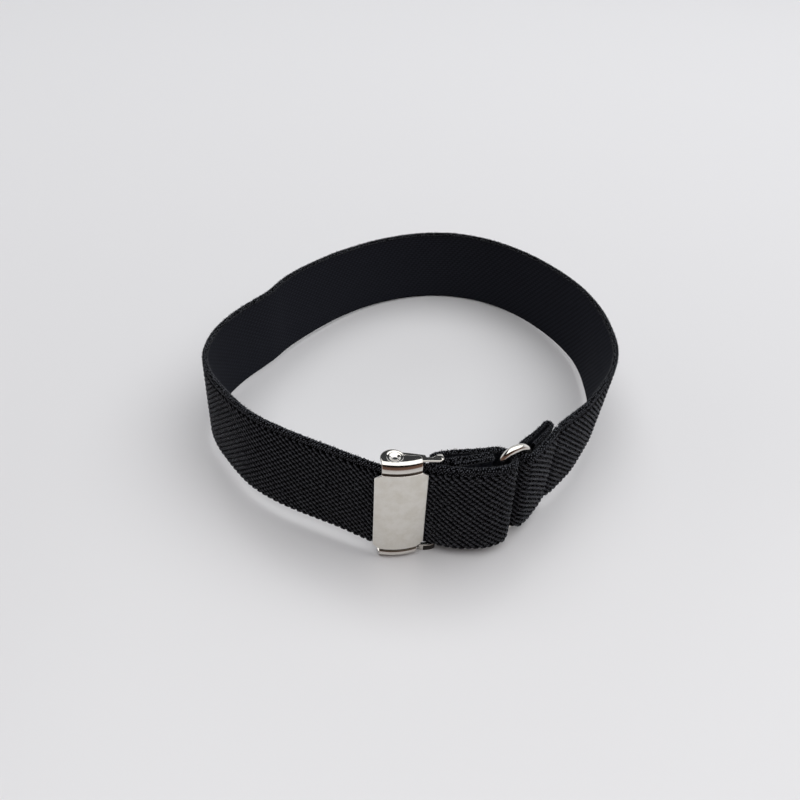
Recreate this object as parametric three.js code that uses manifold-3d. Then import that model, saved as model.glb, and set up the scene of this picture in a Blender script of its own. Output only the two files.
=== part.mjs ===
// Shirt sleeve holder: an elastic arm band closed by a wire ring and a lever clasp
// Millimetres, +X right, +Y from the clasp towards the back of the band, +Z up
import * as THREE from "three";
import { mergeVertices } from "three/addons/utils/BufferGeometryUtils.js";
import Module from "manifold-3d";

const wasm = await Module();
wasm.setup();

const degree = Math.PI / 180;

// Sizes of the woven elastic; facet and facetTurn set how finely its route is divided
const webbing = { width: 25, thickness: 1.3, edge: 0.3, facet: 3.6, facetTurn: 14 };

// The wire ring stands in the line of the strap, with one strap turn round each of its legs
const ring = {
  x: 24.35, y: -50.1, heading: 31, askew: 2.2, lean: 1.8,
  legSpacing: 7.8, bottom: -1.8, top: 26.5, corner: 3.7,
};
const wire = { radius: 0.95, steps: 84, sides: 12 };

// The clasp's own frame: along runs beside the cover plate, behind runs from it to the arm
const clasp = { x: -1.5, y: -59.3, heading: 10, middle: 11.95 };

// The cover plate, bowed outwards; the necks carry it over the strap's edges into the ears
const cover = {
  halfWidth: 6.1, halfHeight: 12.1, chamferAlong: 1.5, chamferUp: 1.2,
  bow: 15, crown: -1.28, sheet: 0.5, columns: 14,
};
const neck = { halfWidth: 4.55, setBack: 0.3, overlap: 0.7, rise: 1.95, bend: 0.95, bendSteps: 6, reach: 5 };
const ear = {
  lobeAlong: -2.0, lobeBehind: 1.9, lobeRadius: 2.75, notchAlong: 1.1, notchBehind: 2.5,
  shoulderAlong: 4.1, shoulderBehind: 2.1, cornerBehind: 1.5, sideBehind: 0.6,
};
const pivot = { along: -1.4, behind: 2.25, sides: 20 };
// The pivot dimple pressed into an ear: its hollow and its outside; depth is from the ear's outer face
const dimpleHollow = [
  { place: "edge of the floor", radius: 0.6, depth: 0.95 },
  { place: "foot of the wall", radius: 0.95, depth: 0.5 },
  { place: "past the rim", radius: 2.95, depth: -0.5 },
];
const dimpleOutside = [
  { place: "edge of the bottom", radius: 1.1, depth: 1.45 },
  { place: "side", radius: 1.3, depth: 0.8 },
  { place: "inside the ear's sheet", radius: 1.5, depth: 0.4 },
];

// The lever behind the strap: its wall in plan, from the jaw round the nose to the free edge
const lever = {
  sheet: 0.5, top: 14.45, wallTop: 14.35, noseTop: 11.8, noseEnd: -0.5, holeRadius: 1.8, lobeRadius: 2.2,
};
const leverWall = [
  { place: "jaw tip", along: -0.9, behind: 1.95 },
  { place: "jaw", along: -2.1, behind: 2.35 },
  { place: "nose", along: -2.7, behind: 3.35 },
  { place: "nose back", along: -2.1, behind: 4.3 },
  { place: "wall start", along: -0.6, behind: 4.45 },
  { place: "wall middle", along: 2.5, behind: 3.7 },
  { place: "free edge", along: 5.6, behind: 2.85 },
];
// An arm that reaches over the strap's edge, in plan; its back edge lies inside the wall's sheet
const armOutline = [
  { place: "front, at the pivot", along: -1.4, behind: 0.3 },
  { place: "front, middle", along: 1.5, behind: 0.75 },
  { place: "front, leaving the ear", along: 4.8, behind: 1.1 },
  { place: "front, before the tip", along: 8.4, behind: 0.75 },
  { place: "tip, front corner", along: 9.2, behind: 0.95 },
  { place: "tip", along: 9.6, behind: 1.6 },
  { place: "tip, back corner", along: 9.4, behind: 2.3 },
  { place: "back of the tip", along: 8.9, behind: 2.55 },
  { place: "step", along: 7.5, behind: 2.5 },
  { place: "back of the arm", along: 7.3, behind: 2.1 },
  { place: "arm root", along: 5.9, behind: 2.1 },
  { place: "wall end", along: 5.5, behind: 2.95 },
  { place: "wall middle", along: 2.5, behind: 3.8 },
  { place: "wall start", along: -0.6, behind: 4.55 },
  { place: "behind the pivot", along: -1.9, behind: 4.3 },
];
// The end bar and the two legs that carry it, seen from the end; up is from the clasp's middle
const endBar = { from: 8.2, to: 9.5 };
const endBarBend = [
  { place: "on the arm", behind: 1.4, up: 14.15 },
  { place: "back of the arm", behind: 2.3, up: 14.15 },
  { place: "down to the bar", behind: 3.7, up: 13.4 },
];

// Where the strap runs before the clasp, in plan from the middle of the loop, starting at its raw end.
// heading is the way it runs in degrees; topX and topY say how far its top edge leans.
const loopRows = [
  { place: "raw end, turned under", x: 28.7, y: -46.0, heading: 55, topX: 0.5, topY: -0.4 },
  { place: "turned under", x: 30.8, y: -42.9, heading: 55, topX: 0.5, topY: -0.4 },
  { place: "hem fold, outer side", x: 32.6, y: -39.8, heading: 54, topX: 0.8, topY: -0.5 },
  { place: "hem fold, inner side", x: 31.4, y: -38.9, heading: 234, topX: 0.8, topY: -0.5 },
  { place: "inner layer", x: 29.55, y: -42.05, heading: 235, topX: 0.5, topY: -0.4 },
  { place: "inner layer at the ring", x: 25.95, y: -46.3, heading: 235, topX: 0.1, topY: -0.8 },
  { place: "ring turn, back", x: 25.0, y: -48.1, heading: 252, topX: -0.4, topY: -1.2 },
  { place: "ring turn, left", x: 26.15, y: -50.45, heading: 335, topX: -0.4, topY: -1.2 },
  { place: "ring turn, front", x: 28.55, y: -49.8, heading: 56, topX: -0.4, topY: -1.2 },
  { place: "outer layer", x: 30.1, y: -47.5, heading: 58, topX: 0.1, topY: -0.8 },
  { place: "bulge over the hem", x: 32.65, y: -43.2, heading: 59, topX: 0.7, topY: -0.5 },
  { place: "stitched crease", x: 34.3, y: -40.8, heading: 56, topX: 0.7, topY: -0.5 },
  { place: "past the crease", x: 36.5, y: -38.2, heading: 51, topX: 0.5, topY: -0.3 },
  { place: "right, front", x: 43.7, y: -28.8, heading: 56, topX: 1.0, topY: -0.6 },
  { place: "right, front bend", x: 50.1, y: -18.6, heading: 59, topX: 0.9, topY: -0.5 },
  { place: "right, after the bend", x: 53.8, y: -10.8, heading: 73, topX: 0.5, topY: -0.1 },
  { place: "right", x: 55.3, y: -1.3, heading: 87, topX: 0.8, topY: 0 },
  { place: "right, middle", x: 55.1, y: 10.7, heading: 94, topX: 0.5, topY: 0 },
  { place: "right, back", x: 53.0, y: 22.4, heading: 105, topX: 0.1, topY: 0 },
  { place: "back right", x: 48.5, y: 33.5, heading: 118, topX: -0.3, topY: -0.2 },
  { place: "back right bend", x: 42.1, y: 43.2, heading: 128, topX: -0.6, topY: -0.5 },
  { place: "back right end", x: 33.6, y: 51.8, heading: 142, topX: -0.6, topY: -0.7 },
  { place: "back, right of middle", x: 23.1, y: 57.8, heading: 160, topX: -0.2, topY: -0.6 },
  { place: "back", x: 11.3, y: 60.0, heading: 180, topX: 0, topY: 0 },
  { place: "back, left of middle", x: -0.7, y: 58.0, heading: 198, topX: 0, topY: 0 },
  { place: "back left", x: -11.3, y: 53.0, heading: 211, topX: 0, topY: 0 },
  { place: "back left bend", x: -20.6, y: 46.1, heading: 222, topX: 0, topY: 0 },
  { place: "back left straight", x: -29.0, y: 37.3, heading: 231, topX: -0.4, topY: 0.3 },
  { place: "before the dents", x: -36.1, y: 27.6, heading: 236, topX: -0.8, topY: 0.5 },
  { place: "first dent, outward", x: -39.4, y: 22.5, heading: 239, topX: -0.7, topY: 0.5 },
  { place: "between the dents", x: -42.2, y: 17.2, heading: 247, topX: -0.3, topY: 0.1 },
  { place: "second dent, inward", x: -44.8, y: 11.8, heading: 240, topX: 0, topY: 0 },
  { place: "after the dents", x: -47.9, y: 6.6, heading: 238, topX: 0, topY: 0 },
  { place: "left, back", x: -50.9, y: 1.3, heading: 244, topX: 0, topY: 0 },
  { place: "left", x: -54.2, y: -7.1, heading: 255, topX: 0, topY: 0 },
  { place: "left, middle", x: -55.3, y: -15.6, heading: 270, topX: 0, topY: 0 },
  { place: "left, front bend", x: -53.1, y: -25.8, heading: 296, topX: 0, topY: 0 },
  { place: "front left bend", x: -49.0, y: -32.2, heading: 309, topX: 0, topY: 0 },
  { place: "front left", x: -40.8, y: -41.1, heading: 317, topX: 0, topY: 0 },
  { place: "front left straight", x: -30.7, y: -47.7, heading: 333, topX: 0, topY: 0 },
  { place: "before the clasp", x: -14.2, y: -55.0, heading: 335, topX: 0.1, topY: -0.2 },
];

// Where it runs from the clasp to its other raw end, in the clasp's frame
const claspRows = [
  { place: "into the clasp", along: -6.7, behind: 3.1, heading: -34, topX: 0, topY: 0 },
  { place: "under the jaw", along: -1.0, behind: 0.6, heading: -1, topX: 0, topY: 0 },
  { place: "plate's right edge", along: 6.2, behind: 1.43, heading: -14, topX: 0, topY: 0 },
  { place: "leaving the clasp", along: 10.8, behind: -0.2, heading: -18, topX: 0, topY: 0.2 },
  { place: "front bulge", along: 16.4, behind: -1.4, heading: -3, topX: 0, topY: 0.5 },
  { place: "front of the ring", along: 22.4, behind: -1.5, heading: 13, topX: 0, topY: 0.9 },
  { place: "ring turn, right", along: 26.85, behind: 1.45, heading: 84, topX: -0.9, topY: 0.3 },
  { place: "ring turn, back", along: 23.4, behind: 5.6, heading: 168, topX: -0.5, topY: 0 },
  { place: "rear layer", along: 19.0, behind: 5.65, heading: 178, topX: 0, topY: 0 },
  { place: "rear layer, middle", along: 15.0, behind: 5.6, heading: 181, topX: 0, topY: 0 },
  { place: "bar turn, back", along: 8.2, behind: 5.0, heading: 192, topX: 0, topY: 0 },
  { place: "bar turn, left", along: 6.9, behind: 3.75, heading: 270, topX: 0, topY: 0 },
  { place: "bar turn, front", along: 8.2, behind: 2.5, heading: 354, topX: 0, topY: 0 },
  { place: "middle layer, start", along: 9.6, behind: 2.53, heading: 371, topX: 0, topY: 0 },
  { place: "middle layer", along: 12.2, behind: 3.05, heading: 368, topX: 0, topY: 0 },
  { place: "middle layer, end", along: 15.5, behind: 3.3, heading: 366, topX: 0, topY: 0 },
  { place: "hem fold, back", along: 20.0, behind: 4.0, heading: 368, topX: 0, topY: 0 },
  { place: "hem fold, front", along: 20.2, behind: 2.55, heading: 188, topX: 0, topY: 0 },
  { place: "turned under", along: 15.5, behind: 1.8, heading: 187, topX: 0, topY: 0 },
  { place: "raw end", along: 11.4, behind: 1.4, heading: 184, topX: 0, topY: 0 },
];

// A body that is cut to an outline first runs past it by this much
const spare = 1;

// A closed body with merged corners and its faces pointing out
function closedBody(geometry) {
  geometry.deleteAttribute("normal");
  geometry.deleteAttribute("uv");
  const merged = mergeVertices(geometry, 1e-5);
  if (signedVolume(merged) < 0) {
    turnFaces(merged);
  }
  return merged;
}

function signedVolume(geometry) {
  const position = geometry.attributes.position;
  const index = geometry.index;
  const corner = [new THREE.Vector3(), new THREE.Vector3(), new THREE.Vector3()];
  let volume = 0;
  for (let i = 0; i < index.count; i += 3) {
    corner.forEach((point, k) => point.fromBufferAttribute(position, index.getX(i + k)));
    volume += corner[0].dot(corner[1].clone().cross(corner[2])) / 6;
  }
  return volume;
}

function turnFaces(geometry) {
  const index = geometry.index;
  for (let i = 0; i < index.count; i += 3) {
    const first = index.getX(i);
    index.setX(i, index.getX(i + 1));
    index.setX(i + 1, first);
  }
}

function toSolid(geometry) {
  const body = closedBody(geometry);
  return new wasm.Manifold(new wasm.Mesh({
    numProp: 3,
    vertProperties: new Float32Array(body.attributes.position.array),
    triVerts: new Uint32Array(body.index.array),
  }));
}

function toGeometry(solid) {
  const mesh = solid.getMesh();
  const geometry = new THREE.BufferGeometry();
  geometry.setAttribute("position", new THREE.BufferAttribute(mesh.vertProperties, 3));
  geometry.setIndex(new THREE.BufferAttribute(mesh.triVerts, 1));
  return geometry;
}

// The body through a row of outlines that place one flat section, given as pairs, with both ends capped
function loft(section, outlines) {
  const count = section.length;
  const flat = section.map(([x, y]) => new THREE.Vector2(x, y));
  const order = flat.map((_, k) => k);
  if (THREE.ShapeUtils.isClockWise(flat)) {
    order.reverse();
  }
  const cap = THREE.ShapeUtils.triangulateShape(order.map((k) => flat[k]), []);
  const points = outlines.flatMap((outline) => order.map((k) => outline[k]));
  const faces = [];
  for (let i = 0; i + 1 < outlines.length; i += 1) {
    for (let k = 0; k < count; k += 1) {
      const near = i * count + k;
      const next = i * count + ((k + 1) % count);
      faces.push(near, next, next + count, near, next + count, near + count);
    }
  }
  const last = (outlines.length - 1) * count;
  cap.forEach(([a, b, c]) => faces.push(a, c, b, last + a, last + b, last + c));
  const geometry = new THREE.BufferGeometry().setFromPoints(points);
  geometry.setIndex(faces);
  return closedBody(geometry);
}

// A flat outline of [x, y] pairs drawn up from one height to another
function prism(outline, from, to) {
  const shape = new THREE.Shape(outline.map(([x, y]) => new THREE.Vector2(x, y)));
  const geometry = new THREE.ExtrudeGeometry(shape, { depth: to - from, bevelEnabled: false });
  return geometry.translate(0, 0, from);
}

// The outline of a bent strip of sheet: both sides of its middle line
function strip(line, thickness) {
  const sides = { left: [], right: [] };
  line.forEach(([x, y], i) => {
    const [fromX, fromY] = line[Math.max(i - 1, 0)];
    const [toX, toY] = line[Math.min(i + 1, line.length - 1)];
    const across = new THREE.Vector2(fromY - toY, toX - fromX).setLength(thickness / 2);
    sides.left.push([x + across.x, y + across.y]);
    sides.right.unshift([x - across.x, y - across.y]);
  });
  return [...sides.left, ...sides.right];
}

// The strap's rows, both parts, in plan
function strapRows() {
  const turn = clasp.heading * degree;
  const fromClasp = claspRows.map((row) => ({
    ...row,
    x: clasp.x + row.along * Math.cos(turn) - row.behind * Math.sin(turn),
    y: clasp.y + row.along * Math.sin(turn) + row.behind * Math.cos(turn),
    heading: clasp.heading + row.heading,
  }));
  return [...loopRows, ...fromClasp];
}

// A smooth curve from row to row that leaves and arrives on the given headings, as an arc would
function strapSpan(row, next) {
  const start = new THREE.Vector2(row.x, row.y);
  const end = new THREE.Vector2(next.x, next.y);
  const turn = Math.abs(THREE.MathUtils.euclideanModulo(next.heading - row.heading + 180, 360) - 180) || 0;
  const bend = Math.max(turn, 1) * degree;
  const handle = start.distanceTo(end) * (2 / 3) * Math.tan(bend / 4) / Math.sin(bend / 2);
  const ahead = new THREE.Vector2(handle, 0).rotateAround(new THREE.Vector2(), row.heading * degree);
  const back = new THREE.Vector2(-handle, 0).rotateAround(new THREE.Vector2(), next.heading * degree);
  const curve = new THREE.CubicBezierCurve(start, start.clone().add(ahead), end.clone().add(back), end);
  return { curve, pieces: Math.ceil(Math.max(turn / webbing.facetTurn, curve.getLength() / webbing.facet)) };
}

// Stations along the strap: a place in plan, the direction across the cloth and the lean of the top edge
function strapStations() {
  const rows = strapRows();
  const stations = [];
  for (let i = 0; i + 1 < rows.length; i += 1) {
    const { curve, pieces } = strapSpan(rows[i], rows[i + 1]);
    const isLast = i + 2 === rows.length;
    for (let k = 0; k < pieces + (isLast ? 1 : 0); k += 1) {
      const part = k / pieces;
      const along = curve.getTangent(part);
      stations.push({
        middle: curve.getPoint(part),
        across: new THREE.Vector2(along.y, -along.x),
        topX: THREE.MathUtils.lerp(rows[i].topX, rows[i + 1].topX, part),
        topY: THREE.MathUtils.lerp(rows[i].topY, rows[i + 1].topY, part),
      });
    }
  }
  return stations;
}

// The webbing's cross section with its edges eased, as pairs of across and up
function webbingSection() {
  const side = webbing.thickness / 2;
  const eased = side - webbing.edge;
  const top = webbing.width;
  return [
    [eased, 0], [side, webbing.edge], [side, top - webbing.edge], [eased, top],
    [-eased, top], [-side, top - webbing.edge], [-side, webbing.edge], [-eased, 0],
  ];
}

function elasticBand() {
  const section = webbingSection();
  const outlines = strapStations().map(({ middle, across, topX, topY }) =>
    section.map(([side, up]) => new THREE.Vector3(
      middle.x + across.x * side + topX * up / webbing.width,
      middle.y + across.y * side + topY * up / webbing.width,
      up,
    )));
  return loft(section, outlines);
}

// The ring's wire follows a rounded rectangle that stands upright
function adjusterRing() {
  const half = ring.legSpacing / 2;
  const { corner, bottom, top } = ring;
  const outline = new THREE.Shape();
  outline.moveTo(half, bottom + corner);
  outline.lineTo(half, top - corner);
  outline.absarc(half - corner, top - corner, corner, 0, Math.PI / 2);
  outline.lineTo(corner - half, top);
  outline.absarc(corner - half, top - corner, corner, Math.PI / 2, Math.PI);
  outline.lineTo(-half, bottom + corner);
  outline.absarc(corner - half, bottom + corner, corner, Math.PI, 1.5 * Math.PI);
  outline.lineTo(half - corner, bottom);
  outline.absarc(half - corner, bottom + corner, corner, 1.5 * Math.PI, 2 * Math.PI);
  const points = outline.getSpacedPoints(wire.steps).slice(0, -1);
  const path = new THREE.CatmullRomCurve3(points.map(({ x, y }) => new THREE.Vector3(x, 0, y)), true);
  return closedBody(new THREE.TubeGeometry(path, wire.steps, wire.radius, wire.sides, true));
}

// How far behind the crown line the bowed cover lies
function bowAt(along) {
  return cover.crown + along * along / (2 * cover.bow);
}

function columns(halfWidth) {
  return Array.from({ length: cover.columns + 1 }, (_, i) => halfWidth * (2 * i / cover.columns - 1));
}

// The cover's face: a bowed sheet cut to a rectangle without its corners
function coverFace() {
  const { halfWidth, halfHeight, chamferAlong, chamferUp, sheet } = cover;
  const front = columns(halfWidth + spare).map((along) => [along, bowAt(along)]);
  const back = columns(halfWidth + spare).reverse().map((along) => [along, bowAt(along) + sheet]);
  const bowed = toSolid(prism([...front, ...back], -halfHeight - spare, halfHeight + spare));
  const sideTop = halfHeight - chamferUp;
  const topSide = halfWidth - chamferAlong;
  const outline = [
    [-halfWidth, -sideTop], [-topSide, -halfHeight], [topSide, -halfHeight], [halfWidth, -sideTop],
    [halfWidth, sideTop], [topSide, halfHeight], [-topSide, halfHeight], [-halfWidth, sideTop],
  ];
  return bowed.intersect(toSolid(prism(outline, -halfWidth, halfWidth).rotateX(Math.PI / 2)));
}

// The middle line of a cover end: up from behind the face, round the neck's bend and back into the ear
function endLine() {
  const start = neck.setBack + cover.sheet / 2;
  const bendFoot = cover.halfHeight + neck.rise;
  const line = [[start, cover.halfHeight - neck.overlap], [start, bendFoot]];
  for (let i = 1; i <= neck.bendSteps; i += 1) {
    const angle = (i / neck.bendSteps) * Math.PI / 2;
    line.push([start + neck.bend * (1 - Math.cos(angle)), bendFoot + neck.bend * Math.sin(angle)]);
  }
  line.push([start + neck.bend + neck.reach, bendFoot + neck.bend]);
  return line;
}

const earTop = cover.halfHeight + neck.rise + neck.bend + cover.sheet / 2;

// The outline of neck and ear in plan: a round lobe over the pivot, a notch and a square shoulder
function endOutline() {
  const lobe = new THREE.Path();
  lobe.absarc(ear.lobeAlong, ear.lobeBehind, ear.lobeRadius, Math.PI, 12 * degree, true);
  const front = cover.crown - spare;
  return [
    [-neck.halfWidth, front],
    [-neck.halfWidth, ear.sideBehind],
    ...lobe.getPoints(10).map(({ x, y }) => [x, y]),
    [ear.notchAlong, ear.notchBehind],
    [ear.shoulderAlong, ear.shoulderBehind],
    [neck.halfWidth, ear.cornerBehind],
    [neck.halfWidth, front],
  ];
}

// A round body about the upper pivot
function turned(profile) {
  const side = profile.map(({ radius, depth }) => new THREE.Vector2(radius, earTop - depth));
  const points = [new THREE.Vector2(0, side[0].y), ...side, new THREE.Vector2(0, side.at(-1).y)];
  const geometry = new THREE.LatheGeometry(points, pivot.sides);
  return toSolid(geometry.rotateX(Math.PI / 2).translate(pivot.along, pivot.behind, 0));
}

// One end of the cover, neck and ear in one bowed and bent sheet
function coverEnd() {
  const section = strip(endLine(), cover.sheet);
  const sheet = loft(section, columns(neck.halfWidth + spare).map((along) =>
    section.map(([behind, up]) => new THREE.Vector3(along, bowAt(along) + behind, up))));
  const neckAndEar = toSolid(sheet).intersect(toSolid(prism(endOutline(), 0, earTop + spare)));
  return neckAndEar.add(turned(dimpleOutside)).subtract(turned(dimpleHollow));
}

// The same body at the clasp's other end
function mirrored(solid) {
  return solid.mirror([0, 0, 1]);
}

function claspPlate() {
  const end = coverEnd();
  return toGeometry(coverFace().add(end).add(mirrored(end)));
}

// A round plate or plug about the pivot, as high as the lever's arm or higher
function disc(radius, from, to) {
  const geometry = new THREE.CylinderGeometry(radius, radius, to - from, pivot.sides);
  return toSolid(geometry.rotateX(Math.PI / 2).translate(pivot.along, pivot.behind, (from + to) / 2));
}

function leverArm() {
  const underside = lever.top - lever.sheet;
  const arm = toSolid(prism(armOutline.map(({ along, behind }) => [along, behind]), underside, lever.top));
  const lobe = disc(lever.lobeRadius, underside, lever.top);
  return arm.add(lobe).subtract(disc(lever.holeRadius, underside - spare, lever.top + spare));
}

// The wall behind the strap; its nose is cut lower than the arms at both ends
function leverWallSheet() {
  const outline = strip(leverWall.map(({ along, behind }) => [along, behind]), lever.sheet);
  const wall = toSolid(prism(outline, -lever.wallTop, lever.wallTop));
  const reach = 2 * lever.wallTop;
  const box = new THREE.BoxGeometry(reach, reach, reach);
  const overNose = toSolid(box.translate(lever.noseEnd - reach / 2, 0, lever.noseTop + reach / 2));
  return wall.subtract(overNose).subtract(mirrored(overNose));
}

// The end bar with its two bent legs, one strip bent over at both ends
function leverEndBar() {
  const upper = endBarBend.map(({ behind, up }) => [behind, up]);
  const lower = upper.map(([behind, up]) => [behind, -up]).reverse();
  const section = strip([...upper, ...lower], lever.sheet);
  return toSolid(loft(section, [endBar.from, endBar.to].map((along) =>
    section.map(([behind, up]) => new THREE.Vector3(along, behind, up)))));
}

function claspLever() {
  const arm = leverArm();
  return toGeometry(leverWallSheet().add(arm).add(mirrored(arm)).add(leverEndBar()));
}

const materials = {
  webbing: new THREE.MeshStandardMaterial({ color: 0x1b1c1e, roughness: 0.9, metalness: 0 }),
  satinNickel: new THREE.MeshStandardMaterial({ color: 0xbdbab3, roughness: 0.38, metalness: 1 }),
  brightNickel: new THREE.MeshStandardMaterial({ color: 0xc9c6c1, roughness: 0.14, metalness: 1 }),
  brightWire: new THREE.MeshStandardMaterial({ color: 0xcfccc6, roughness: 0.1, metalness: 1 }),
};

function named(name, geometry, material) {
  const mesh = new THREE.Mesh(geometry, material);
  mesh.name = name;
  return mesh;
}

const claspGroup = new THREE.Group();
claspGroup.add(named("clasp_plate", claspPlate(), materials.satinNickel));
claspGroup.add(named("clasp_lever", claspLever(), materials.brightNickel));
claspGroup.position.set(clasp.x, clasp.y, clasp.middle);
claspGroup.rotation.z = clasp.heading * degree;

const ringMesh = named("adjuster_ring", adjusterRing(), materials.brightWire);
ringMesh.position.set(ring.x, ring.y, 0);
ringMesh.rotation.set(ring.lean * degree, -ring.askew * degree, ring.heading * degree, "ZYX");

// The holder stands on the back of the band and on the clasp's lower ear, so its front is a little raised
const backEdge = { y: 60.65, z: 0 };
const lowerEar = { y: -54.7, z: clasp.middle - earTop };
const standing = new THREE.Group();
standing.add(named("elastic_band", elasticBand(), materials.webbing), ringMesh, claspGroup);
standing.rotation.x = -Math.atan2(backEdge.z - lowerEar.z, backEdge.y - lowerEar.y);

const sleeveHolder = new THREE.Group();
sleeveHolder.add(standing);

// The origin is under the middle of the holder, on the surface that it stands on
const bounds = new THREE.Box3().setFromObject(sleeveHolder, true);
const middle = bounds.getCenter(new THREE.Vector3());
standing.position.set(-middle.x, -middle.y, -bounds.min.z);

export default sleeveHolder;
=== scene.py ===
import math
import bmesh
import bpy
import numpy as np
from mathutils import Matrix, Vector


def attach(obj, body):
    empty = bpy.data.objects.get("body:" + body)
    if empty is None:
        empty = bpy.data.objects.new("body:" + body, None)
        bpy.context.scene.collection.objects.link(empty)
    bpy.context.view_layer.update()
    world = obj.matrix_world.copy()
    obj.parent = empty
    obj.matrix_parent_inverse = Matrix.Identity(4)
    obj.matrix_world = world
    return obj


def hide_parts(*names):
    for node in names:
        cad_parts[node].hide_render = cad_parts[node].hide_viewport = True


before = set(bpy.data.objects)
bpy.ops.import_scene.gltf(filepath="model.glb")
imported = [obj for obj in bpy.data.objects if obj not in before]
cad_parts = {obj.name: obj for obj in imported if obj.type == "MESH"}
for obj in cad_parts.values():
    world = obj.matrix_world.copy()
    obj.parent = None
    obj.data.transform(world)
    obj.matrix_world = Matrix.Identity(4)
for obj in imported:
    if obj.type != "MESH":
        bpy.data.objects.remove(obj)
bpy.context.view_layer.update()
print("frame loaded:", sorted(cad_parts))

# Lengths are in millimetres in the strap's own frame; the whole then tilts a little onto its clasp's ear
standing = {"tilt": -1.6387, "place": (-0.4063, -0.2836, 1.7258)}
camera = {"place": (-0.003606, -0.173372, 0.144633), "pitch": 40.03, "roll": 3.916, "lens": 33.3}


def turned(degrees, axis):
    return Matrix.Rotation(math.radians(degrees), 4, axis)


toRow = Matrix.Scale(0.001, 4) @ Matrix.Translation(standing["place"]) @ turned(standing["tilt"], "X")


def addObject(name, data):
    obj = bpy.data.objects.new(name, data)
    bpy.context.collection.objects.link(obj)
    return obj


def addCamera():
    data = bpy.data.cameras.new("camera")
    data.lens = camera["lens"]
    data.clip_start = 0.01
    obj = addObject("camera", data)
    aim = turned(90 - camera["pitch"], "X") @ turned(camera["roll"], "Z")
    obj.matrix_world = Matrix.Translation(camera["place"]) @ aim
    bpy.context.scene.camera = obj


addCamera()
print("camera placed")


def linear(hexColour):
    values = [int(hexColour[i:i + 2], 16) / 255 for i in (1, 3, 5)]
    return (*[v / 12.92 if v <= 0.04045 else ((v + 0.055) / 1.055) ** 2.4 for v in values], 1.0)


# a setting is a property, or an input by name or number; a link takes a socket, or a node's first output
def fillNode(material, node, settings=(), links=()):
    for name, value in dict(settings).items():
        if isinstance(name, int) or not hasattr(node, name):
            node.inputs[name].default_value = value
        else:
            setattr(node, name, value)
    for name, source in dict(links).items():
        material.node_tree.links.new(getattr(source, "outputs", [source])[0], node.inputs[name])
    return node


def addNode(material, kind, settings=(), links=()):
    return fillNode(material, material.node_tree.nodes.new("ShaderNode" + kind), settings, links)


def newMaterial(name):
    material = bpy.data.materials.new(name)
    material.use_nodes = True
    return material, material.node_tree.nodes["Principled BSDF"]


# stops are pairs of place and colour
def fillRamp(ramp, stops):
    elements = ramp.color_ramp.elements
    for number, (position, colour) in enumerate(stops):
        element = elements[number] if number < 2 else elements.new(position)
        element.position = position
        element.color = linear(colour)
    return ramp


# smooth shaded, with its faces turned outwards
def addPiece(name, mesh, materials):
    bm = bmesh.new()
    bm.from_mesh(mesh)
    bmesh.ops.recalc_face_normals(bm, faces=bm.faces)
    bm.to_mesh(mesh)
    bm.free()
    mesh.polygons.foreach_set("use_smooth", [True] * len(mesh.polygons))
    for material in materials:
        mesh.materials.append(material)
    return addObject(name, mesh)


# how far along a line each of its points is, and points at such places
def runAlong(line):
    return np.concatenate([[0], np.cumsum(np.linalg.norm(np.diff(line, axis=0), axis=1))])


def pointsAt(places, run, line):
    return np.stack([np.interp(places, run, line[:, k]) for k in (0, 1)], -1)


def smoothed(values, reach):
    soft = np.hanning(2 * reach + 3)[1:-1]
    return np.convolve(np.pad(values, reach, mode="edge"), soft / soft.sum(), mode="valid")


def arcPoints(x, y, radius, angles):
    return [(x + radius * math.cos(a), y + radius * math.sin(a)) for a in angles]


def gridFaces(rows, columns, first=0, closed=False):
    across = columns if closed else columns - 1
    row = first + np.arange(rows - 1)[:, None] * columns
    near, far = np.arange(across), (np.arange(across) + 1) % columns
    return np.stack([row + near, row + far, row + far + columns, row + near + columns], -1).reshape(-1, 4)


# a closed tube: its sides, then its two ends
def tubeFaces(rows, around, first=0):
    last = first + (rows - 1) * around
    sides = gridFaces(rows, around, first, closed=True).tolist()
    return sides + [list(range(first, first + around)), list(range(last, last + around))]


# Strap: 25 mm woven elastic, one length from raw end to raw end
# out is measured from its middle to the ribbed face
strap = {
    "width": 25.0,
    "face": 0.28, "back": -0.62,  # the ground cloth, under the ribs and on the inner side
    "faceUp": (4, 8, 12, 16, 20, 22.4), "backUp": (23.9, 20, 16, 12, 8, 4, 1.2),  # heights of their points
    "lowEdge": (-0.12, 0.75, 0.5), "topEdge": (-0.02, 24.36, 0.6),  # each rounded edge: out, up, radius
    "round": 3.14,  # how far the cloth can go round an edge, in radians
    "flare": 1.3, "flareRows": (-0.9, -0.45),  # the face comes out to the top edge over this height
    "step": 0.6,
}

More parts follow.
